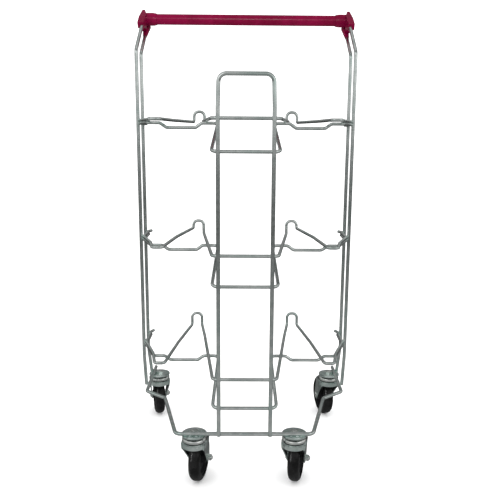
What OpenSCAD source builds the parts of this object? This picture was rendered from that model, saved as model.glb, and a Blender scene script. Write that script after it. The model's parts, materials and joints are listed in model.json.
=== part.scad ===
// Three-tier wire-frame trolley on four swivel casters, with a tube handle.
// Frame: X to the right, Y from the front to the handle end, Z up from the floor.
// Origin: on the floor, in the middle of the footprint. Millimetres.

/* [Frame wire] */
// Diameter of the base rod, the front hoop and the uprights
rod_d = 8; // [7:0.5:8.5]
// Diameter of the shelf and brace wires
wire_d = 7; // [6:0.5:7.5]
// Depth that crossing wires are set into each other where they are welded
weld_set = 0.4; // [0.2:0.1:0.6]

/* [Base] */
// Half width of the base between the bends of the front crossbar
front_half_w = 140; // [134:1:150]
// Distance from the centre plane to the straight rear part of the base rod
rear_half_w = 231; // [228:1:240]
// Distance from the front crossbar to the inward shoulder of the base rod
shoulder_y = 172; // [165:1:180]
// Distance from the front crossbar to the rear end of the base rod
base_len = 362; // [358:1:372]

/* [Front hoop] */
// Distance from the centre plane to each leg of the front hoop
hoop_half_w = 52; // [48:1:53]
// Height of the top of the front hoop above the base rod
hoop_h = 707; // [680:1:720]
// How far each leg of the front hoop leans in above the top tier
hoop_nip = 1.8; // [0.6:0.2:3]

/* [Uprights] */
// Distance from the front crossbar to the front upright wires
front_upright_y = 230; // [226:1:236]
// Distance from the front crossbar to the rear upright wires
rear_upright_y = 293; // [289:1:299]
// Height where the upright wires bend back to the handle
lean_z = 904; // [890:1:915]
// Angle of the leaning upper ends above the horizontal
lean_deg = 37; // [35:1:39]

/* [Tiers] */
// Height of the bottom shelf wire above the floor
bottom_tier_z = 244; // [236:1:252]
// Height of the middle shelf wire above the floor
middle_tier_z = 496; // [488:1:504]
// Height of the top shelf wire above the floor
top_tier_z = 755; // [748:1:762]
// Drop from a shelf wire to the crosspiece of its brace wire
brace_drop = 61; // [56:1:68]
// Width of the little arches at the rear of a shelf wire
arch_w = 25; // [24:0.5:28]
// Distance from the centre plane to the arches of the top tier
top_arch_x = 112; // [110:0.5:125]
// Height of the arches of the top tier
top_arch_h = 24; // [18:1:30]
// Distance from the centre plane to the arches of the middle tier
middle_arch_x = 116; // [110:0.5:125]
// Height of the arches of the middle tier
middle_arch_h = 18; // [18:1:30]
// Distance from the centre plane to the arches of the bottom tier
bottom_arch_x = 122; // [110:0.5:125]
// Height of the arches of the bottom tier
bottom_arch_h = 30; // [18:1:30]

/* [Handle] */
// Diameter of the handle sleeve
sleeve_d = 24; // [23:0.5:26]
// Distance from the front crossbar to the handle axis
handle_y = 372; // [368:1:376]
// Height of the handle axis
handle_z = 992.5; // [989:0.5:996]
// Distance from the upright wires out to the outer face of an end cap
cap_over = 9.9; // [9.6:0.1:10]

/* [Casters] */
// Wheel diameter
wheel_d = 100; // [96:1:100]
// Width of the tyre
tyre_w = 25; // [24:1:28]
// Distance that a wheel axle trails behind its swivel axis
trail = 36; // [34:1:38]
// Distance from the centre plane to the front swivel axes
front_caster_x = 103; // [98:1:108]
// Distance from the front crossbar back to the front swivel axes
front_caster_y = 12.5; // [12.5:0.5:18]
// Distance from the straight rear part of the base rod in to the rear swivel axes
rear_caster_in = 13; // [12.8:0.1:14]
// Distance from the front crossbar back to the rear swivel axes
rear_caster_y = 330; // [326:1:334]
// Turn of the front left caster at rest
front_left_turn = -11; // [-180:1:180]
// Turn of the front right caster at rest
front_right_turn = -14; // [-180:1:180]
// Turn of the rear left caster at rest
rear_left_turn = 13; // [-180:1:180]
// Turn of the rear right caster at rest
rear_right_turn = 13; // [-180:1:180]

/* [Hidden] */
$fn = 48;

zinc = [0.74, 0.76, 0.75];
race_steel = [0.80, 0.81, 0.80];
raspberry = [0.52, 0.05, 0.22];
black_rubber = [0.05, 0.05, 0.05];
black_plastic = [0.08, 0.08, 0.08];

// Heights of the caster stack above the floor
caster_h = 123;
disc_t = 3.5;
wheel_r = wheel_d / 2;
axle_z = wheel_r;

// Sizes below are measured back from the front crossbar, which stands this far
// in front of the middle of the footprint
crown_r = 26.5;
mid_y = (front_caster_y - crown_r + rear_caster_y + trail + wheel_r) / 2;

// Wire positions that follow from the sizes above
base_z = caster_h + rod_d / 2 - weld_set;
hoop_y = weld_set - rod_d;
cross_y = hoop_y + (rod_d + wire_d) / 2 - weld_set;
upright_x = rear_half_w + rod_d - weld_set;
tail_x = upright_x - (rod_d + wire_d) / 2 + weld_set;
cap_half_w = upright_x + cap_over;
rear_caster_x = rear_half_w - rear_caster_in;
brace_below = wire_d - weld_set;

// Upper ends of the uprights
lean_y = cos(lean_deg);
lean_up = sin(lean_deg);
front_lean_len = 134;
rear_lean_len = 118;
foot_top_z = 207;
front_foot_y = front_upright_y + 21;
rear_foot_y = rear_upright_y + 42;
foot_z = base_z - 0.6;

// Handle and end caps
core_d = sleeve_d - 4;
core_wall = 1.5;
collar_len = 22;
cap_t = 14.5;
slip = 0.05;

// Node to draw

// Children are measured from the front crossbar
module in_frame() {
    translate([0, -mid_y, 0])
        children();
}

// ---------------------------------------------------------------- bent wire

function unit(v) = v / norm(v);

function turn_at(p, i) = acos(unit(p[i] - p[i - 1]) * unit(p[i + 1] - p[i]));

function trim_at(p, r, i) =
    (i == 0 || i == len(p) - 1) ? 0 : r[i] * tan(turn_at(p, i) / 2);

function placing(x, y, z, o) = [
    [x.x, y.x, z.x, o.x],
    [x.y, y.y, z.y, o.y],
    [x.z, y.z, z.z, o.z],
    [0, 0, 0, 1]
];

function xyz(v) = [v[0], v[1], v[2]];

// Both halves of a path that is symmetric about the centre plane, from its right half
function both_sides(half) = concat(
    [for (i = [len(half) - 1 : -1 : 0]) [-half[i][0], half[i][1], half[i][2], half[i][3]]],
    half
);

// Straight round bar from a to b
module bar(a, b, d) {
    w = unit(b - a);
    s = abs(w.z) < 0.9 ? [0, 0, 1] : [1, 0, 0];
    u = unit(cross(s, w));
    multmatrix(placing(u, cross(w, u), w, a))
        cylinder(d = d, h = norm(b - a));
}

// Bend of the wire at point i of the path p
module bend(p, r, i, d) {
    a = unit(p[i] - p[i - 1]);
    b = unit(p[i + 1] - p[i]);
    n = unit(cross(a, b));
    c = p[i] - a * trim_at(p, r, i) + cross(n, a) * r[i];
    multmatrix(placing(cross(a, n), a, n, c))
        rotate_extrude(angle = turn_at(p, i))
            translate([r[i], 0])
                circle(d = d);
}

// Hair-thin band that joins a straight to a bend at c
module band(c, w, d) {
    half_len = 0.2;
    swell = 0.04;
    bar(c - w * half_len, c + w * half_len, d + swell);
}

// Round wire along a path of [x, y, z, bend radius]
module wire(path, d) {
    p = [for (v = path) xyz(v)];
    r = [for (v = path) v[3]];
    last = len(p) - 1;
    for (i = [0 : last - 1]) {
        w = unit(p[i + 1] - p[i]);
        bar(p[i] + w * trim_at(p, r, i), p[i + 1] - w * trim_at(p, r, i + 1), d);
    }
    for (i = [1 : last - 1]) {
        a = unit(p[i] - p[i - 1]);
        b = unit(p[i + 1] - p[i]);
        bend(p, r, i, d);
        band(p[i] - a * trim_at(p, r, i), a, d);
        band(p[i] + b * trim_at(p, r, i), b, d);
    }
}

// ---------------------------------------------------------------- frame

module base_rod() {
    corner_r = 14;
    half = [
        [front_half_w, 0, base_z, corner_r],
        [front_half_w + 43, shoulder_y - 2, base_z, corner_r],
        [rear_half_w, shoulder_y + 35, base_z, corner_r],
        [rear_half_w, base_len, base_z, 0]
    ];
    color(zinc)
        in_frame()
            wire(both_sides(half), rod_d);
}

module front_hoop() {
    top_r = 15;
    nip_r = 60;
    nip_z = top_tier_z + 20;
    hoop_end = 0.6;
    half = [
        [hoop_half_w - hoop_nip, hoop_y, base_z + hoop_h, top_r],
        [hoop_half_w, hoop_y, nip_z, nip_r],
        [hoop_half_w, hoop_y, base_z - hoop_end, 0]
    ];
    color(zinc)
        in_frame()
            wire(both_sides(half), rod_d);
}

// One upright on the right-hand side: slanted foot, straight, leaning upper end
module upright(y, foot_y, lean_len) {
    foot_r = 20;
    top_r = 14;
    path = [
        [upright_x, foot_y, foot_z, 0],
        [upright_x, y, foot_top_z, foot_r],
        [upright_x, y, lean_z, top_r],
        [upright_x, y + lean_len * lean_y, lean_z + lean_len * lean_up, 0]
    ];
    wire(path, rod_d);
}

module front_upright() {
    upright(front_upright_y, front_foot_y, front_lean_len);
}

module rear_upright() {
    upright(rear_upright_y, rear_foot_y, rear_lean_len);
}

module left_front_upright() {
    color(zinc)
        in_frame()
            mirror([1, 0, 0])
                front_upright();
}

module right_front_upright() {
    color(zinc)
        in_frame()
            front_upright();
}

module left_rear_upright() {
    color(zinc)
        in_frame()
            mirror([1, 0, 0])
                rear_upright();
}

module right_rear_upright() {
    color(zinc)
        in_frame()
            rear_upright();
}

// ---------------------------------------------------------------- shelf and brace wires

// Shelf wire with its plane at height z, and its arches at arch_x
module shelf_wire(z, arch_x, arch_h) {
    corner_r = 12;
    easy_r = 60;
    arch_foot_r = 6;
    arch_r = 11;
    trough_r = 8;
    arch_y = 357;
    arch_in = arch_x - arch_w / 2;
    arch_out = arch_x + arch_w / 2;
    trough_y = 88;
    half = [
        [64, cross_y, z, corner_r],
        [97, 269, z, easy_r],
        [arch_in, arch_y, z, arch_foot_r],
        [arch_in, arch_y, z + arch_h, arch_r],
        [arch_out, arch_y, z + arch_h, arch_r],
        [arch_out, arch_y, z, arch_foot_r],
        [156, 221, z, easy_r],
        [172, trough_y, z, trough_r],
        [192.5, trough_y, z, trough_r],
        [204.5, 147, z, 30],
        [tail_x, front_upright_y - 8, z, 20],
        [tail_x, rear_upright_y + 5, z, 8],
        [tail_x - 5, rear_upright_y + 15, z, 0]
    ];
    wire(both_sides(half), wire_d);
}

// Brace wire that hangs just below the shelf wire whose plane is at height z
module brace_wire(z) {
    corner_r = 12;
    top_r = 10;
    dip_r = 10;
    run_y = 149;
    run_z = z - brace_below;
    dip_z = run_z - 9.5;
    half = [
        [65, cross_y, z - brace_drop, corner_r],
        [58.5, run_y, run_z, top_r],
        [92, run_y, run_z, dip_r],
        [105, run_y, dip_z, dip_r],
        [166, run_y, dip_z, dip_r],
        [179, run_y, run_z, dip_r],
        [203.5, run_y, run_z, top_r],
        [tail_x, front_upright_y - 8, run_z, 20],
        [tail_x, rear_upright_y + 4, run_z, 0]
    ];
    wire(both_sides(half), wire_d);
}

module top_shelf_wire() {
    color(zinc)
        in_frame()
            shelf_wire(top_tier_z, top_arch_x, top_arch_h);
}

module middle_shelf_wire() {
    color(zinc)
        in_frame()
            shelf_wire(middle_tier_z, middle_arch_x, middle_arch_h);
}

module bottom_shelf_wire() {
    color(zinc)
        in_frame()
            shelf_wire(bottom_tier_z, bottom_arch_x, bottom_arch_h);
}

module top_brace_wire() {
    color(zinc)
        in_frame()
            brace_wire(top_tier_z);
}

module middle_brace_wire() {
    color(zinc)
        in_frame()
            brace_wire(middle_tier_z);
}

module bottom_brace_wire() {
    color(zinc)
        in_frame()
            brace_wire(bottom_tier_z);
}

// ---------------------------------------------------------------- handle

// Cylinder along X from x0 to x1, on the handle axis
module along_handle(x0, x1, d0, d1) {
    translate([x0, handle_y, handle_z])
        rotate([0, 90, 0])
            cylinder(d1 = d0, d2 = d1, h = x1 - x0);
}

module handle_core_tube() {
    half_len = cap_half_w - 13;
    color(zinc)
        in_frame()
            difference() {
                along_handle(-half_len, half_len, core_d, core_d);
                along_handle(-half_len - 1, half_len + 1, core_d - 2 * core_wall, core_d - 2 * core_wall);
            }
}

module handle_sleeve() {
    half_len = cap_half_w - 17;
    color(raspberry)
        in_frame()
            difference() {
                along_handle(-half_len, half_len, sleeve_d, sleeve_d);
                along_handle(-half_len - 1, half_len + 1, core_d, core_d);
            }
}

// Side outline of an end cap, as [y, z] from the handle axis
cap_outline = [
    [-60, -17], [-34, 1], [20, 25.5], [24.5, 21], [26, -6], [22, -17],
    [9, -26], [-8, -28], [-19, -24], [-42, -26.5], [-52, -29]
];

// Web of the right end cap: thick at the wire entries, thin at its top point
module cap_web() {
    thin_t = 4.5;
    below = 60;
    intersection() {
        translate([cap_half_w - cap_t, handle_y, handle_z])
            rotate([90, 0, 90])
                linear_extrude(cap_t)
                    polygon(cap_outline);
        translate([0, 0, handle_z - below])
            linear_extrude(2 * below)
                polygon([
                    [cap_half_w, handle_y - 70],
                    [cap_half_w, handle_y + 40],
                    [cap_half_w - thin_t, handle_y + 40],
                    [cap_half_w - thin_t - 1, handle_y + 22],
                    [cap_half_w - cap_t, handle_y - 14],
                    [cap_half_w - cap_t, handle_y - 70]
                ]);
    }
}

// Bar along the leaning end of an upright, from distance s0 to s1 past its bend
module along_lean(y, s0, s1, d0, d1) {
    translate([upright_x, y + s0 * lean_y, lean_z + s0 * lean_up])
        rotate([lean_deg - 90, 0, 0])
            cylinder(d1 = d0, d2 = d1, h = s1 - s0);
}

module right_cap() {
    collar_d = sleeve_d + 5;
    collar_in = cap_half_w - cap_t - collar_len;
    collar_flat = collar_in + 7;
    web_in = cap_half_w - cap_t + 2;
    socket_from = 79;
    socket_to = 124;
    mouth_d = rod_d + 1.9;
    root_d = 18.6;
    reach = 0.5;
    difference() {
        union() {
            cap_web();
            along_handle(collar_in, collar_flat, sleeve_d + 2.4, collar_d);
            along_handle(collar_flat, web_in, collar_d, collar_d);
            along_lean(rear_upright_y, socket_from, socket_to, mouth_d, root_d);
        }
        along_handle(collar_in - 1, cap_half_w - 17 + reach, sleeve_d + 2 * slip, sleeve_d + 2 * slip);
        along_handle(collar_in - 1, cap_half_w - 13 + reach, core_d + 2 * slip, core_d + 2 * slip);
        along_lean(front_upright_y, 60, front_lean_len + reach, rod_d + 2 * slip, rod_d + 2 * slip);
        along_lean(rear_upright_y, 60, rear_lean_len + reach, rod_d + 2 * slip, rod_d + 2 * slip);
    }
}

module left_end_cap() {
    color(raspberry)
        in_frame()
            mirror([1, 0, 0])
                right_cap();
}

module right_end_cap() {
    color(raspberry)
        in_frame()
            right_cap();
}

// ---------------------------------------------------------------- casters

// Places of the casters: x, y and turn at rest
front_left = [-front_caster_x, front_caster_y, front_left_turn];
front_right = [front_caster_x, front_caster_y, front_right_turn];
rear_left = [-rear_caster_x, rear_caster_y, rear_left_turn];
rear_right = [rear_caster_x, rear_caster_y, rear_right_turn];

// Children are drawn about the swivel axis, with the wheel trailing towards +Y
module at_caster(place) {
    translate([place[0], place[1] - mid_y, 0])
        rotate([0, 0, place[2]])
            children();
}

// Children are drawn about the wheel axle, which lies along X
module at_axle() {
    translate([0, trail, axle_z])
        children();
}

module hex(af, h) {
    cylinder(d = af / cos(30), h = h, $fn = 6);
}

king_r = 5;
king_nut_h = 5;
disc_r = 26;
race_r = 25;
upper_ball_r = 2.5;
upper_pitch_r = 18;
upper_ball_z = 111.45;
lower_ball_r = 2;
lower_pitch_r = 11.5;
lower_ball_z = 103.6;
ball_gap = 0.03;
seat_z = 109.6;
crown_z = 102.7;
crown_t = 3;

// Groove for a ring of balls
module ball_groove(pitch_r, ball_r, z) {
    translate([0, 0, z])
        rotate_extrude()
            translate([pitch_r, 0])
                circle(r = ball_r + ball_gap);
}

// Round mounting disc, dished at its edge, with a narrower neck below it
module mount_disc() {
    neck_z = 116.6;
    neck_r = 20;
    flat_r = 22.5;
    edge_h = 1.6;
    difference() {
        union() {
            translate([0, 0, caster_h - disc_t])
                cylinder(r = disc_r, h = disc_t - edge_h);
            translate([0, 0, caster_h - edge_h])
                cylinder(r1 = disc_r, r2 = flat_r, h = edge_h);
            translate([0, 0, neck_z])
                cylinder(r = neck_r, h = caster_h - disc_t - neck_z);
        }
        translate([0, 0, neck_z - 1])
            cylinder(r = king_r + slip, h = caster_h - neck_z + 2);
    }
}

// Upper race: a cup over the upper ring of balls
module upper_race() {
    skirt_z = 108.8;
    ceiling_z = 113.3;
    top_z = 116.6;
    wall_t = 2;
    shoulder = 3.4;
    difference() {
        rotate_extrude()
            polygon([
                [king_r + slip, top_z], [race_r - shoulder, top_z], [race_r - 1, top_z - 2.2],
                [race_r, top_z - shoulder - 0.6], [race_r, skirt_z], [race_r - wall_t, skirt_z],
                [race_r - wall_t, ceiling_z], [king_r + slip, ceiling_z]
            ]);
        ball_groove(upper_pitch_r, upper_ball_r, upper_ball_z);
    }
}

// Lower race: a dished washer on the head of the king bolt
module lower_race() {
    outer_r = 14.5;
    floor_z = 99.4;
    top_z = 102.2;
    difference() {
        translate([0, 0, floor_z])
            cylinder(r = outer_r, h = top_z - floor_z);
        translate([0, 0, floor_z - 1])
            cylinder(r = king_r + slip, h = top_z - floor_z + 2);
        ball_groove(lower_pitch_r, lower_ball_r, lower_ball_z);
    }
}

module ball_ring(pitch_r, ball_r, z, count) {
    for (i = [0 : count - 1])
        rotate([0, 0, i * 360 / count])
            translate([pitch_r, 0, z])
                sphere(r = ball_r);
}

module balls() {
    ball_ring(upper_pitch_r, upper_ball_r, upper_ball_z, 18);
    ball_ring(lower_pitch_r, lower_ball_r, lower_ball_z, 14);
}

module king_bolt() {
    head_h = 5;
    head_z = 99.4 - head_h;
    end_z = caster_h + king_nut_h + 1.5;
    translate([0, 0, head_z])
        cylinder(r = 8, h = head_h);
    translate([0, 0, head_z + head_h])
        cylinder(r = king_r, h = end_z - head_z - head_h - 1);
    translate([0, 0, end_z - 1])
        cylinder(r1 = king_r, r2 = king_r - 1, h = 1);
}

module king_nut() {
    af = 16;
    bevel = 1.2;
    seat_gap = 0.02;
    translate([0, 0, caster_h + seat_gap])
        difference() {
            intersection() {
                hex(af, king_nut_h);
                union() {
                    cylinder(d = af + 2.4, h = king_nut_h - bevel);
                    translate([0, 0, king_nut_h - bevel])
                        cylinder(d1 = af + 2.4, d2 = af - 0.4, h = bevel);
                }
            }
            translate([0, 0, -1])
                cylinder(r = king_r + slip, h = king_nut_h + 2);
        }
}

// Fork: crown plate with a raised ball seat, a skirt in front and two leaning legs
leg_t = 2.5;
leg_in = 17.5;
leg_lean = 5.4;
pad_r = 9;
axle_r = 4;

// Side outline of a leg, as [y, z] with z from the axle; its top is inside the crown
leg_top = crown_z + 1.8 - axle_z;
leg_outline = [
    [-14, leg_top], [27, leg_top], [29.5, 40], [37, 22], [46, 5], [46.5, -1], [40, -10.5],
    [32, -10.5], [25.5, -3], [13, 13], [-5, 34], [-14, 43]
];

// Leaning leg with a flat pad round the axle
module leg() {
    pad_rim = 1;
    difference() {
        translate([leg_in, 0, axle_z])
            rotate([0, leg_lean, 0])
                rotate([90, 0, 90])
                    linear_extrude(leg_t)
                        polygon(leg_outline);
        at_axle()
            rotate([0, 90, 0])
                cylinder(r = pad_r - pad_rim, h = 2 * crown_r);
    }
    at_axle()
        rotate([0, 90, 0])
            translate([0, 0, leg_in])
                cylinder(r = pad_r, h = leg_t);
}

module fork() {
    skirt_z = 95.5;
    skirt_t = 2.5;
    recess_r = 15.5;
    seat_r = 22.5;
    ceiling_z = 105;
    plate_back = 31;
    shoulder = 2.2;
    difference() {
        union() {
            translate([0, 0, crown_z])
                cylinder(r = crown_r, h = crown_t - shoulder);
            translate([0, 0, crown_z + crown_t - shoulder])
                cylinder(r1 = crown_r, r2 = crown_r - 1.4 * shoulder, h = shoulder);
            translate([0, 0, crown_z])
                cylinder(r = seat_r, h = seat_z - crown_z);
            translate([0, 0, crown_z])
                linear_extrude(crown_t)
                    polygon([
                        [-25, 2], [25, 2], [25, plate_back - 8], [17, plate_back],
                        [-17, plate_back], [-25, plate_back - 8]
                    ]);
            difference() {
                translate([0, 0, skirt_z])
                    cylinder(r = crown_r, h = crown_z - skirt_z + 1);
                translate([0, 0, skirt_z - 1])
                    cylinder(r = crown_r - skirt_t, h = crown_z - skirt_z + 1);
                translate([-crown_r - 1, 9, skirt_z - 1])
                    cube([2 * crown_r + 2, crown_r, crown_z - skirt_z + 1]);
            }
            leg();
            mirror([1, 0, 0])
                leg();
        }
        translate([0, 0, crown_z - 10])
            cylinder(r = recess_r, h = ceiling_z - crown_z + 10);
        translate([0, 0, crown_z])
            cylinder(r = king_r + slip + 0.01, h = 10);
        ball_groove(upper_pitch_r, upper_ball_r, upper_ball_z);
        ball_groove(lower_pitch_r, lower_ball_r, lower_ball_z);
        at_axle()
            rotate([0, 90, 0])
                cylinder(r = axle_r + slip, h = 80, center = true);
    }
}

sleeve_r = 6;

// Axle bolt with a low round head
module axle_bolt() {
    head_r = 7.5;
    head_h = 3;
    edge = 1.4;
    end_x = 29.5;
    seat_x = -leg_in - leg_t;
    at_axle()
        rotate([0, 90, 0]) {
            translate([0, 0, seat_x - head_h])
                cylinder(r1 = head_r - 1.6 * edge, r2 = head_r, h = edge);
            translate([0, 0, seat_x - head_h + edge])
                cylinder(r = head_r, h = head_h - edge);
            translate([0, 0, seat_x])
                cylinder(r = axle_r, h = end_x - seat_x - 1);
            translate([0, 0, end_x - 1])
                cylinder(r1 = axle_r, r2 = axle_r - 0.8, h = 1);
        }
}

module axle_nut() {
    af = 13;
    nut_h = 6.8;
    at_axle()
        rotate([0, 90, 0])
            translate([0, 0, leg_in + leg_t])
                difference() {
                    union() {
                        hex(af, nut_h - 1.5);
                        cylinder(d = af - 0.4, h = nut_h);
                    }
                    translate([0, 0, -1])
                        cylinder(r = axle_r + slip, h = nut_h + 2);
                }
}

module axle_sleeve() {
    at_axle()
        rotate([0, 90, 0])
            difference() {
                cylinder(r = sleeve_r, h = 2 * leg_in, center = true);
                cylinder(r = axle_r + slip, h = 2 * leg_in + 2, center = true);
            }
}

hub_half = 16.1;
rim_r = wheel_r - 12;
rim_half = tyre_w / 2 - 3;
key_r = rim_r + 2;
key_half = 4;

// Hub with a web, a rim and a rib that keys into the tyre
module wheel_hub() {
    hub_r = 11.5;
    web_half = 3.5;
    at_axle()
        rotate([0, 90, 0])
            rotate_extrude()
                polygon([
                    [sleeve_r + slip, -hub_half], [hub_r - 1, -hub_half], [hub_r, -hub_half + 1],
                    [hub_r + 1.5, -web_half], [rim_r - 5, -web_half], [rim_r - 4, -rim_half],
                    [rim_r, -rim_half], [rim_r, -key_half], [key_r, -key_half],
                    [key_r, key_half], [rim_r, key_half], [rim_r, rim_half],
                    [rim_r - 4, rim_half], [rim_r - 5, web_half], [hub_r + 1.5, web_half],
                    [hub_r, hub_half - 1], [hub_r - 1, hub_half], [sleeve_r + slip, hub_half]
                ]);
}

// Tyre with a flat tread and round shoulders
module tyre() {
    shoulder_r = 10;
    flank_half = tyre_w / 2;
    flat_half = flank_half - shoulder_r;
    at_axle()
        rotate([0, 90, 0])
            difference() {
                union() {
                    cylinder(r = wheel_r, h = 2 * flat_half, center = true);
                    cylinder(r = wheel_r - shoulder_r, h = tyre_w, center = true);
                    for (side = [-1, 1])
                        translate([0, 0, side * flat_half])
                            rotate_extrude()
                                translate([wheel_r - shoulder_r, 0])
                                    circle(r = shoulder_r);
                }
                cylinder(r = rim_r, h = tyre_w + 2, center = true);
                cylinder(r = key_r, h = 2 * key_half, center = true);
            }
}

module king_bolts() {
    color(race_steel)
        for (place = [front_left, front_right, rear_left, rear_right])
            at_caster([place[0], place[1], 0])
                king_bolt();
}

module king_nuts() {
    color(race_steel)
        for (place = [front_left, front_right])
            at_caster([place[0], place[1], 0])
                king_nut();
    color(race_steel)
        for (place = [rear_left, rear_right])
            at_caster([place[0], place[1], 30])
                king_nut();
}

module front_left_mount_disc() {
    color(zinc) at_caster(front_left) mount_disc();
}

module front_left_upper_race() {
    color(race_steel) at_caster(front_left) upper_race();
}

module front_left_lower_race() {
    color(race_steel) at_caster(front_left) lower_race();
}

module front_left_balls() {
    color(race_steel) at_caster(front_left) balls();
}

module front_left_fork() {
    color(zinc) at_caster(front_left) fork();
}

module front_left_axle_bolt() {
    color(race_steel) at_caster(front_left) axle_bolt();
}

module front_left_axle_nut() {
    color(race_steel) at_caster(front_left) axle_nut();
}

module front_left_axle_sleeve() {
    color(race_steel) at_caster(front_left) axle_sleeve();
}

module front_left_wheel_hub() {
    color(black_plastic) at_caster(front_left) wheel_hub();
}

module front_left_tyre() {
    color(black_rubber) at_caster(front_left) tyre();
}

module front_right_mount_disc() {
    color(zinc) at_caster(front_right) mount_disc();
}

module front_right_upper_race() {
    color(race_steel) at_caster(front_right) upper_race();
}

module front_right_lower_race() {
    color(race_steel) at_caster(front_right) lower_race();
}

module front_right_balls() {
    color(race_steel) at_caster(front_right) balls();
}

module front_right_fork() {
    color(zinc) at_caster(front_right) fork();
}

module front_right_axle_bolt() {
    color(race_steel) at_caster(front_right) axle_bolt();
}

module front_right_axle_nut() {
    color(race_steel) at_caster(front_right) axle_nut();
}

module front_right_axle_sleeve() {
    color(race_steel) at_caster(front_right) axle_sleeve();
}

module front_right_wheel_hub() {
    color(black_plastic) at_caster(front_right) wheel_hub();
}

module front_right_tyre() {
    color(black_rubber) at_caster(front_right) tyre();
}

module rear_left_mount_disc() {
    color(zinc) at_caster(rear_left) mount_disc();
}

module rear_left_upper_race() {
    color(race_steel) at_caster(rear_left) upper_race();
}

module rear_left_lower_race() {
    color(race_steel) at_caster(rear_left) lower_race();
}

module rear_left_balls() {
    color(race_steel) at_caster(rear_left) balls();
}

module rear_left_fork() {
    color(zinc) at_caster(rear_left) fork();
}

module rear_left_axle_bolt() {
    color(race_steel) at_caster(rear_left) axle_bolt();
}

module rear_left_axle_nut() {
    color(race_steel) at_caster(rear_left) axle_nut();
}

module rear_left_axle_sleeve() {
    color(race_steel) at_caster(rear_left) axle_sleeve();
}

module rear_left_wheel_hub() {
    color(black_plastic) at_caster(rear_left) wheel_hub();
}

module rear_left_tyre() {
    color(black_rubber) at_caster(rear_left) tyre();
}

module rear_right_mount_disc() {
    color(zinc) at_caster(rear_right) mount_disc();
}

module rear_right_upper_race() {
    color(race_steel) at_caster(rear_right) upper_race();
}

module rear_right_lower_race() {
    color(race_steel) at_caster(rear_right) lower_race();
}

module rear_right_balls() {
    color(race_steel) at_caster(rear_right) balls();
}

module rear_right_fork() {
    color(zinc) at_caster(rear_right) fork();
}

module rear_right_axle_bolt() {
    color(race_steel) at_caster(rear_right) axle_bolt();
}

module rear_right_axle_nut() {
    color(race_steel) at_caster(rear_right) axle_nut();
}

module rear_right_axle_sleeve() {
    color(race_steel) at_caster(rear_right) axle_sleeve();
}

module rear_right_wheel_hub() {
    color(black_plastic) at_caster(rear_right) wheel_hub();
}

module rear_right_tyre() {
    color(black_rubber) at_caster(rear_right) tyre();
}

base_rod();
front_hoop();
left_front_upright();
right_front_upright();
left_rear_upright();
right_rear_upright();
top_shelf_wire();
middle_shelf_wire();
bottom_shelf_wire();
top_brace_wire();
middle_brace_wire();
bottom_brace_wire();
handle_core_tube();
handle_sleeve();
left_end_cap();
right_end_cap();
king_bolts();
king_nuts();
front_left_mount_disc();
front_left_upper_race();
front_left_lower_race();
front_left_balls();
front_left_fork();
front_left_axle_bolt();
front_left_axle_nut();
front_left_axle_sleeve();
front_left_wheel_hub();
front_left_tyre();
front_right_mount_disc();
front_right_upper_race();
front_right_lower_race();
front_right_balls();
front_right_fork();
front_right_axle_bolt();
front_right_axle_nut();
front_right_axle_sleeve();
front_right_wheel_hub();
front_right_tyre();
rear_left_mount_disc();
rear_left_upper_race();
rear_left_lower_race();
rear_left_balls();
rear_left_fork();
rear_left_axle_bolt();
rear_left_axle_nut();
rear_left_axle_sleeve();
rear_left_wheel_hub();
rear_left_tyre();
rear_right_mount_disc();
rear_right_upper_race();
rear_right_lower_race();
rear_right_balls();
rear_right_fork();
rear_right_axle_bolt();
rear_right_axle_nut();
rear_right_axle_sleeve();
rear_right_wheel_hub();
rear_right_tyre();
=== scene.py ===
import json
import math
import random

import bmesh
import bpy
from mathutils import Matrix, Vector, noise
from mathutils.bvhtree import BVHTree


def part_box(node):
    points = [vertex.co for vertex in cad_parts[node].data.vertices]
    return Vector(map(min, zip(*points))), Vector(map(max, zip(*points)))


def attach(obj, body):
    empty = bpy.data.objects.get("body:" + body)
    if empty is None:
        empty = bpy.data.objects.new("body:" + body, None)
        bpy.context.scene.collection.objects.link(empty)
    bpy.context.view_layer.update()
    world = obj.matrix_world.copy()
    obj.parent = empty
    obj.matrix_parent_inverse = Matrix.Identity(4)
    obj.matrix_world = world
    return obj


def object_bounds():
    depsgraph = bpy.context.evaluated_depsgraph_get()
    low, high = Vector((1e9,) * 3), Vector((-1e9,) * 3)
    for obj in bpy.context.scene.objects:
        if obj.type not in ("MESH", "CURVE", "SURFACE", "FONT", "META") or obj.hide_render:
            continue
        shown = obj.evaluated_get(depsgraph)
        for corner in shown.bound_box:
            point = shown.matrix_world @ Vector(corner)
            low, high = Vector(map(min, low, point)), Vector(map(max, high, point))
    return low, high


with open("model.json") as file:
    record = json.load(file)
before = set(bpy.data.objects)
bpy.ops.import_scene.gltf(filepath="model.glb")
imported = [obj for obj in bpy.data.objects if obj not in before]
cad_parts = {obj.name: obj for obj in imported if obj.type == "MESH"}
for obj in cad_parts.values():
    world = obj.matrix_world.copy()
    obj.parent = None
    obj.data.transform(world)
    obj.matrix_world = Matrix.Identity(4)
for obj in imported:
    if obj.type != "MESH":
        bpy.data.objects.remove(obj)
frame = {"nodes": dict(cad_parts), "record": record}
cad_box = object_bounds()
record = frame["record"]
nodes = frame["nodes"]
scene = bpy.context.scene


# ------------------------------------------------------------------ materials


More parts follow.
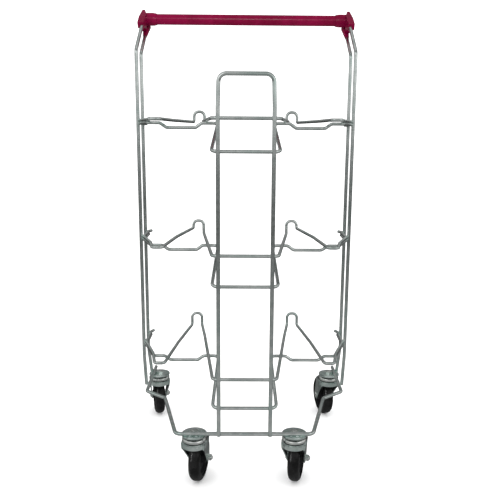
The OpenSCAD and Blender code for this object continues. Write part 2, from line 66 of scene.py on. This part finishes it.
class Graph:
    """A material's node tree, built by short calls."""

    def __init__(self, name):
        self.material = bpy.data.materials.new(name)
        self.material.use_nodes = True
        self.tree = self.material.node_tree
        self.tree.nodes.clear()
        self.out = self.add("ShaderNodeOutputMaterial")
        self.bsdf = self.add("ShaderNodeBsdfPrincipled")
        self.link(self.bsdf.outputs[0], self.out.inputs[0])
        self.place = self.add("ShaderNodeTexCoord").outputs["Object"]
        split = self.add("ShaderNodeSeparateXYZ")
        self.link(self.place, split.inputs[0])
        self.height = split.outputs[2]

    def add(self, kind):
        return self.tree.nodes.new(kind)

    def link(self, a, b):
        self.tree.links.new(a, b)

    def feed(self, socket, value):
        if hasattr(value, "is_linked"):
            self.link(value, socket)
        else:
            socket.default_value = value

    def stretched(self, sx, sy, sz):
        n = self.add("ShaderNodeMapping")
        self.link(self.place, n.inputs["Vector"])
        n.inputs["Scale"].default_value = (sx, sy, sz)
        return n.outputs[0]

    def noise(self, scale, detail=3.0, rough=0.55, where=None):
        n = self.add("ShaderNodeTexNoise")
        self.link(where or self.place, n.inputs["Vector"])
        n.inputs["Scale"].default_value = scale
        n.inputs["Detail"].default_value = detail
        n.inputs["Roughness"].default_value = rough
        return n.outputs["Fac"]

    def ramp(self, value, a, b, lo=0.0, hi=1.0):
        n = self.add("ShaderNodeMapRange")
        n.interpolation_type = "SMOOTHSTEP"
        self.link(value, n.inputs["Value"])
        for socket, v in zip(("From Min", "From Max", "To Min", "To Max"), (a, b, lo, hi)):
            n.inputs[socket].default_value = v
        return n.outputs["Result"]

    def mix(self, share, a, b):
        n = self.add("ShaderNodeMix")
        n.data_type = "RGBA"
        self.feed(n.inputs[0], share)
        self.feed(n.inputs[6], a)
        self.feed(n.inputs[7], b)
        return n.outputs[2]

    def math(self, op, a, b=0.0):
        n = self.add("ShaderNodeMath")
        n.operation = op
        self.feed(n.inputs[0], a)
        self.feed(n.inputs[1], b)
        return n.outputs[0]

    def bump(self, height, distance, strength=1.0, below=None):
        n = self.add("ShaderNodeBump")
        self.link(height, n.inputs["Height"])
        n.inputs["Distance"].default_value = distance
        n.inputs["Strength"].default_value = strength
        if below is not None:
            self.link(below, n.inputs["Normal"])
        return n.outputs[0]

    def set(self, **values):
        for key, value in values.items():
            self.feed(self.bsdf.inputs[key.replace("_", " ")], value)
        return self.material


def rgb(r, g, b):
    return (r, g, b, 1.0)


def zinc(name, dark, light, tint, rough_lo, rough_hi, spangle, mark_scale, shade_bands=()):
    """Bright zinc plate: cloudy tone, faint coloured passivation, small handling marks.

    The last argument lists heights, in metres, of bands darkened by painted shade, which stands in for the
    shadow deep in the gaps between parts.
    """
    edge = 0.0002
    g = Graph(name)
    cloud = g.ramp(g.noise(38.0, 3.0), 0.36, 0.66)
    colour = g.mix(cloud, dark, light)
    colour = g.mix(g.ramp(g.noise(17.0, 2.0), 0.50, 0.72, 0.0, 0.55), colour, tint)
    marks = g.ramp(g.noise(mark_scale, 5.0, 0.7), 0.60, 0.74)
    colour = g.mix(g.math("MULTIPLY", marks, 0.35), colour, rgb(0.30, 0.32, 0.32))
    rough = g.ramp(g.noise(90.0, 4.0), 0.3, 0.7, rough_lo, rough_hi)
    rough = g.math("ADD", rough, g.math("MULTIPLY", marks, 0.12))
    # Painted shade: each listed band is darkened almost to black and made rougher, standing in for the
    # shadow in the gaps.
    for low, high in shade_bands:
        ragged = g.math("MULTIPLY", g.math("SUBTRACT", g.noise(260.0, 3.0), 0.5), 0.0012)
        height = g.math("ADD", g.height, ragged)
        above = g.ramp(height, low - edge, low + edge)
        below = g.ramp(height, high - edge, high + edge, 1.0, 0.0)
        band = g.math("MULTIPLY", above, below)
        colour = g.mix(g.math("MULTIPLY", band, 0.94), colour, rgb(0.020, 0.021, 0.020))
        rough = g.math("ADD", rough, g.math("MULTIPLY", band, 0.25))
    wavy = g.bump(g.noise(110.0, 2.0), 0.0003, spangle)
    fine = g.bump(g.noise(1500.0, 2.0), 0.00005, 0.12, wavy)
    return g.set(Base_Color=colour, Metallic=1.0, Roughness=rough, Normal=fine)


def moulded(name, dark, light, worn, rough_lo, rough_hi, shine):
    """Moulded plastic: slow tone changes, fine orange peel, a few dull scuffs."""
    g = Graph(name)
    colour = g.mix(g.ramp(g.noise(22.0, 3.0), 0.35, 0.68), dark, light)
    scuffs = g.ramp(g.noise(55.0, 6.0, 0.72, g.stretched(0.35, 1.0, 1.0)), 0.60, 0.72)
    colour = g.mix(g.math("MULTIPLY", scuffs, 0.22), colour, worn)
    rough = g.ramp(g.noise(120.0, 4.0), 0.3, 0.7, rough_lo, rough_hi)
    rough = g.math("ADD", rough, g.math("MULTIPLY", scuffs, 0.18))
    peel = g.bump(g.noise(420.0, 3.0), 0.0001, 0.05)
    grain = g.bump(g.noise(2600.0, 2.0), 0.00002, 0.08, peel)
    return g.set(Base_Color=colour, Roughness=rough, Normal=grain, Specular_IOR_Level=shine)


def rolled(name):
    """Hard black tread: near-black, polished, with pale dust held in small pits."""
    g = Graph(name)
    cloud = g.ramp(g.noise(45.0, 3.0), 0.35, 0.70)
    colour = g.mix(cloud, rgb(0.003, 0.003, 0.003), rgb(0.008, 0.008, 0.008))
    dust = g.ramp(g.noise(160.0, 6.0, 0.75), 0.61, 0.76)
    colour = g.mix(g.math("MULTIPLY", dust, 0.14), colour, rgb(0.13, 0.12, 0.11))
    rough = g.ramp(g.noise(70.0, 4.0), 0.3, 0.7, 0.16, 0.26)
    rough = g.math("ADD", rough, g.math("MULTIPLY", dust, 0.3))
    pits = g.bump(g.noise(700.0, 4.0), 0.0001, 0.15)
    return g.set(Base_Color=colour, Roughness=rough, Normal=pits, Specular_IOR_Level=0.15)


# Heights, in metres, of the gaps in the swivel heads that are darkened with painted shade
DISC_UNDERSIDE = (0.1150, 0.1196)
BALL_GAP = (0.1056, 0.1100)
GAP_SHADE_BANDS = (DISC_UNDERSIDE, BALL_GAP)
MATERIALS = {
    "wire_zinc": zinc(
        "wire_zinc", rgb(0.61, 0.67, 0.65), rgb(0.80, 0.85, 0.83), rgb(0.56, 0.69, 0.65),
        rough_lo=0.11, rough_hi=0.19, spangle=0.03, mark_scale=420.0,
    ),
    "zinc": zinc(
        "zinc", rgb(0.57, 0.67, 0.64), rgb(0.84, 0.92, 0.89), rgb(0.54, 0.69, 0.64),
        rough_lo=0.13, rough_hi=0.25, spangle=0.25, mark_scale=300.0, shade_bands=GAP_SHADE_BANDS,
    ),
    "bright_steel": zinc(
        "bright_steel", rgb(0.62, 0.66, 0.64), rgb(0.86, 0.88, 0.86), rgb(0.68, 0.72, 0.67),
        rough_lo=0.14, rough_hi=0.26, spangle=0.15, mark_scale=500.0,
    ),
    "core_steel": zinc(
        "core_steel", rgb(0.42, 0.43, 0.44), rgb(0.62, 0.63, 0.64), rgb(0.50, 0.50, 0.48),
        rough_lo=0.30, rough_hi=0.44, spangle=0.30, mark_scale=350.0,
    ),
    "handle_plastic": moulded(
        "handle_plastic", rgb(0.090, 0.0006, 0.0145), rgb(0.126, 0.0010, 0.0230), rgb(0.22, 0.010, 0.055),
        rough_lo=0.24, rough_hi=0.32, shine=0.07,
    ),
    "wheel_plastic": moulded(
        "wheel_plastic", rgb(0.006, 0.006, 0.007), rgb(0.014, 0.014, 0.015), rgb(0.08, 0.08, 0.08),
        rough_lo=0.34, rough_hi=0.48, shine=0.20,
    ),
    "tyre_rubber": rolled("tyre_rubber"),
}

for entry in record["subparts"]:
    mesh = nodes[entry["node"]].data
    mesh.materials.clear()
    mesh.materials.append(MATERIALS[entry["material_slot"]])


# ------------------------------------------------------------------ weld beads


MERGE_WITHIN = 0.014
BEAD_SIZE = 0.0036
TREES = {}


def tree_of(node):
    """Search tree and mesh of a node, built once."""
    if node not in TREES:
        m = nodes[node].data
        TREES[node] = BVHTree.FromPolygons([v.co for v in m.vertices], [p.vertices for p in m.polygons]), m
    return TREES[node]


def crossings(tree, mesh, polygons):
    """Points where the edges of these polygons run through the other surface."""
    for i in polygons:
        corners = [mesh.vertices[v].co for v in mesh.polygons[i].vertices]
        for a, b in zip(corners, corners[1:] + corners[:1]):
            length = (b - a).length
            if length > 1e-7:
                hit = tree.ray_cast(a, (b - a) / length, length)[0]
                if hit is not None:
                    yield hit


def contacts(a, b):
    """Centres of the places where two welded pieces run into each other."""
    (ta, ma), (tb, mb) = tree_of(a), tree_of(b)
    pairs = ta.overlap(tb)
    hits = list(crossings(tb, ma, sorted({i for i, j in pairs})))
    hits += list(crossings(ta, mb, sorted({j for i, j in pairs})))
    spots = []
    for p in hits:
        for spot in spots:
            if (sum(spot, Vector()) / len(spot) - p).length < MERGE_WITHIN:
                spot.append(p)
                break
        else:
            spots.append([p])
    return [
        Vector([(min(q[k] for q in spot) + max(q[k] for q in spot)) / 2 for k in range(3)])
        for spot in spots
    ]


def bead(centre, across, seed, size):
    """One squeezed-out weld bead: a lumpy flattened drop round the crossing."""
    bm = bmesh.new()
    bmesh.ops.create_icosphere(bm, subdivisions=3, radius=1.0)
    turn = across.to_track_quat("Z", "Y").to_matrix()
    for v in bm.verts:
        d = v.co.normalized()
        coarse = noise.noise(d * 1.9 + Vector((seed, 0.3, 0.7)))
        small = noise.noise(d * 6.0 + Vector((0.1, seed, 0.4)))
        reach = size * (1.0 + 0.22 * coarse + 0.08 * small)
        waist = 1.0 - 0.25 * abs(d.z)
        v.co = centre + turn @ Vector((d.x * reach * waist, d.y * reach * waist, d.z * reach * 0.62))
    return bm


def joined(name, parts, slot):
    """One piece made of several meshes, riding on the frame."""
    whole = bmesh.new()
    for part in parts:
        mesh = bpy.data.meshes.new("part")
        part.to_mesh(mesh)
        part.free()
        whole.from_mesh(mesh)
        bpy.data.meshes.remove(mesh)
    mesh = bpy.data.meshes.new(name)
    whole.to_mesh(mesh)
    whole.free()
    for p in mesh.polygons:
        p.use_smooth = True
    mesh.materials.append(MATERIALS[slot])
    obj = bpy.data.objects.new(name, mesh)
    scene.collection.objects.link(obj)
    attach(obj, "frame")


def group_of(a, b):
    """The weld group of a welded pair: its tier, or else the base."""
    for tier in ("top", "middle", "bottom"):
        if a.startswith(tier) or b.startswith(tier):
            return tier + "_tier_welds"
    return "base_welds"


beads = {}
draw = random.Random(11)
for a, b in record["behaviour"]["press_fits"]:
    for centre in contacts(a, b):
        across = Vector((0.0, 1.0, 0.0)) if "hoop" in a + b else Vector((1.0, 0.0, 0.0))
        if "mount_disc" in a + b:
            across = Vector((0.0, 0.0, 1.0))
        beads.setdefault(group_of(a, b), []).append(bead(centre, across, draw.uniform(0, 50), BEAD_SIZE))
for name, parts in sorted(beads.items()):
    joined(name, parts, "zinc")


# ------------------------------------------------------------------ stage, light and camera

middle = (cad_box[0] + cad_box[1]) / 2


def stage_material(name, tone):
    """Matt, faintly cloudy and pale."""
    g = Graph(name)
    colour = g.mix(g.noise(6.0, 4.0), rgb(*[tone * 0.985] * 3), rgb(*[tone] * 3))
    return g.set(Base_Color=colour, Roughness=0.9)


def floor():
    """Wide pale floor that fades into the pale surroundings and isn't mirrored in the metal."""
    radius = 14.0
    bm = bmesh.new()
    bmesh.ops.create_circle(bm, cap_ends=True, segments=96, radius=radius)
    mesh = bpy.data.meshes.new("floor")
    bm.to_mesh(mesh)
    bm.free()
    mesh.materials.append(stage_material("pale_floor", 0.97))
    obj = bpy.data.objects.new("floor", mesh)
    scene.collection.objects.link(obj)
    obj.visible_glossy = False


floor()


def softbox(name, where, towards, size, power, only=()):
    """A rectangular light; with only, it lights no other nodes than those."""
    light = bpy.data.lights.new(name, "AREA")
    light.shape = "RECTANGLE"
    light.size, light.size_y = size
    light.energy = power
    obj = bpy.data.objects.new(name, light)
    obj.location = where
    obj.rotation_mode = "QUATERNION"
    obj.rotation_quaternion = (Vector(towards) - Vector(where)).to_track_quat("-Z", "Y")
    scene.collection.objects.link(obj)
    if only:
        lit = bpy.data.collections.new(name + "_lights_only")
        for node in only:
            lit.objects.link(nodes[node])
        obj.light_linking.receiver_collection = lit


softbox("key", (-1.6, -2.6, 2.9), middle, (2.2, 2.2), 8.0)
softbox("fill", (2.2, -2.2, 1.9), middle, (1.8, 1.8), 4.0)
softbox("top", (0.0, 0.4, 3.4), middle, (3.0, 2.4), 8.0)
HANDLE = ("handle_sleeve", "left_end_cap", "right_end_cap")
TYRES = [entry["node"] for entry in record["subparts"] if entry["material_slot"] == "tyre_rubber"]
softbox("handle_strip", (0.0, -1.78, 1.44), (0.0, 0.17, 0.99), (0.45, 0.22), 22.0, HANDLE)
softbox("tyre_strip", (-1.60, -1.60, 0.75), (0.0, -0.1, 0.05), (0.16, 1.4), 30.0, TYRES)


# Brightness of the white surroundings
SURROUND = 1.6
# What the metal mirrors at each height of view, from straight down to straight up
SKY = (
    (-1.00, 0.30), (-0.55, 0.42), (-0.42, 0.44), (-0.30, 0.33), (-0.20, 0.21), (-0.14, 0.14),
    (-0.08, 0.22), (-0.02, 0.34), (0.05, 0.72), (0.20, 0.84), (0.45, 0.76), (0.70, 0.36), (1.00, 0.14),
)
# How much dimmer the far side of the room is
BEHIND = 0.36


class WorldGraph(Graph):
    """The surroundings: plain white to the eye and to matt surfaces, a room with a dark horizon to metal."""

    def __init__(self):
        world = bpy.data.worlds.new("studio")
        scene.world = world
        world.use_nodes = True
        self.tree = world.node_tree
        self.tree.nodes.clear()
        self.out = self.add("ShaderNodeOutputWorld")
        split = self.add("ShaderNodeSeparateXYZ")
        self.link(self.add("ShaderNodeTexCoord").outputs["Generated"], split.inputs[0])
        _, y, z = split.outputs
        sky = self.add("ShaderNodeValToRGB")
        self.feed(sky.inputs[0], self.math("MULTIPLY", self.math("ADD", z, 1.0), 0.5))
        stops = sky.color_ramp.elements
        for _ in SKY[2:]:
            stops.new(0.5)
        for stop, (height, tone) in zip(stops, SKY):
            stop.position = (height + 1.0) / 2
            stop.color = rgb(tone, tone, tone)
        total = self.math("MULTIPLY", sky.outputs[0], self.ramp(y, 0.15, 0.80, 1.0, BEHIND))
        rays = self.add("ShaderNodeLightPath")
        metal = self.add("ShaderNodeBackground")
        self.feed(metal.inputs["Strength"], total)
        plain = self.add("ShaderNodeBackground")
        plain.inputs["Color"].default_value = rgb(1.0, 1.0, 1.0)
        plain.inputs["Strength"].default_value = SURROUND
        pick = self.add("ShaderNodeMixShader")
        self.link(rays.outputs["Is Glossy Ray"], pick.inputs[0])
        self.link(plain.outputs[0], pick.inputs[1])
        self.link(metal.outputs[0], pick.inputs[2])
        self.link(pick.outputs[0], self.out.inputs[0])


WorldGraph()

scene.view_settings.view_transform = "Standard"

# The view of the photo, from the perspective fit
camera = bpy.data.cameras.new("camera")
camera.sensor_width = 36.0
camera.lens = 43.2
camera_obj = bpy.data.objects.new("camera", camera)
heading, pitch, roll = 0.011, 0.1888, 0.0072
crossbar_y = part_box("base_rod")[0].y + 0.004
camera_obj.matrix_world = (
    Matrix.Translation((-0.0036, crossbar_y - 1.130, 0.724))
    @ Matrix.Rotation(-heading, 4, "Z")
    @ Matrix.Rotation(math.pi / 2 - pitch, 4, "X")
    @ Matrix.Rotation(roll, 4, "Z")
)
scene.collection.objects.link(camera_obj)
scene.camera = camera_obj
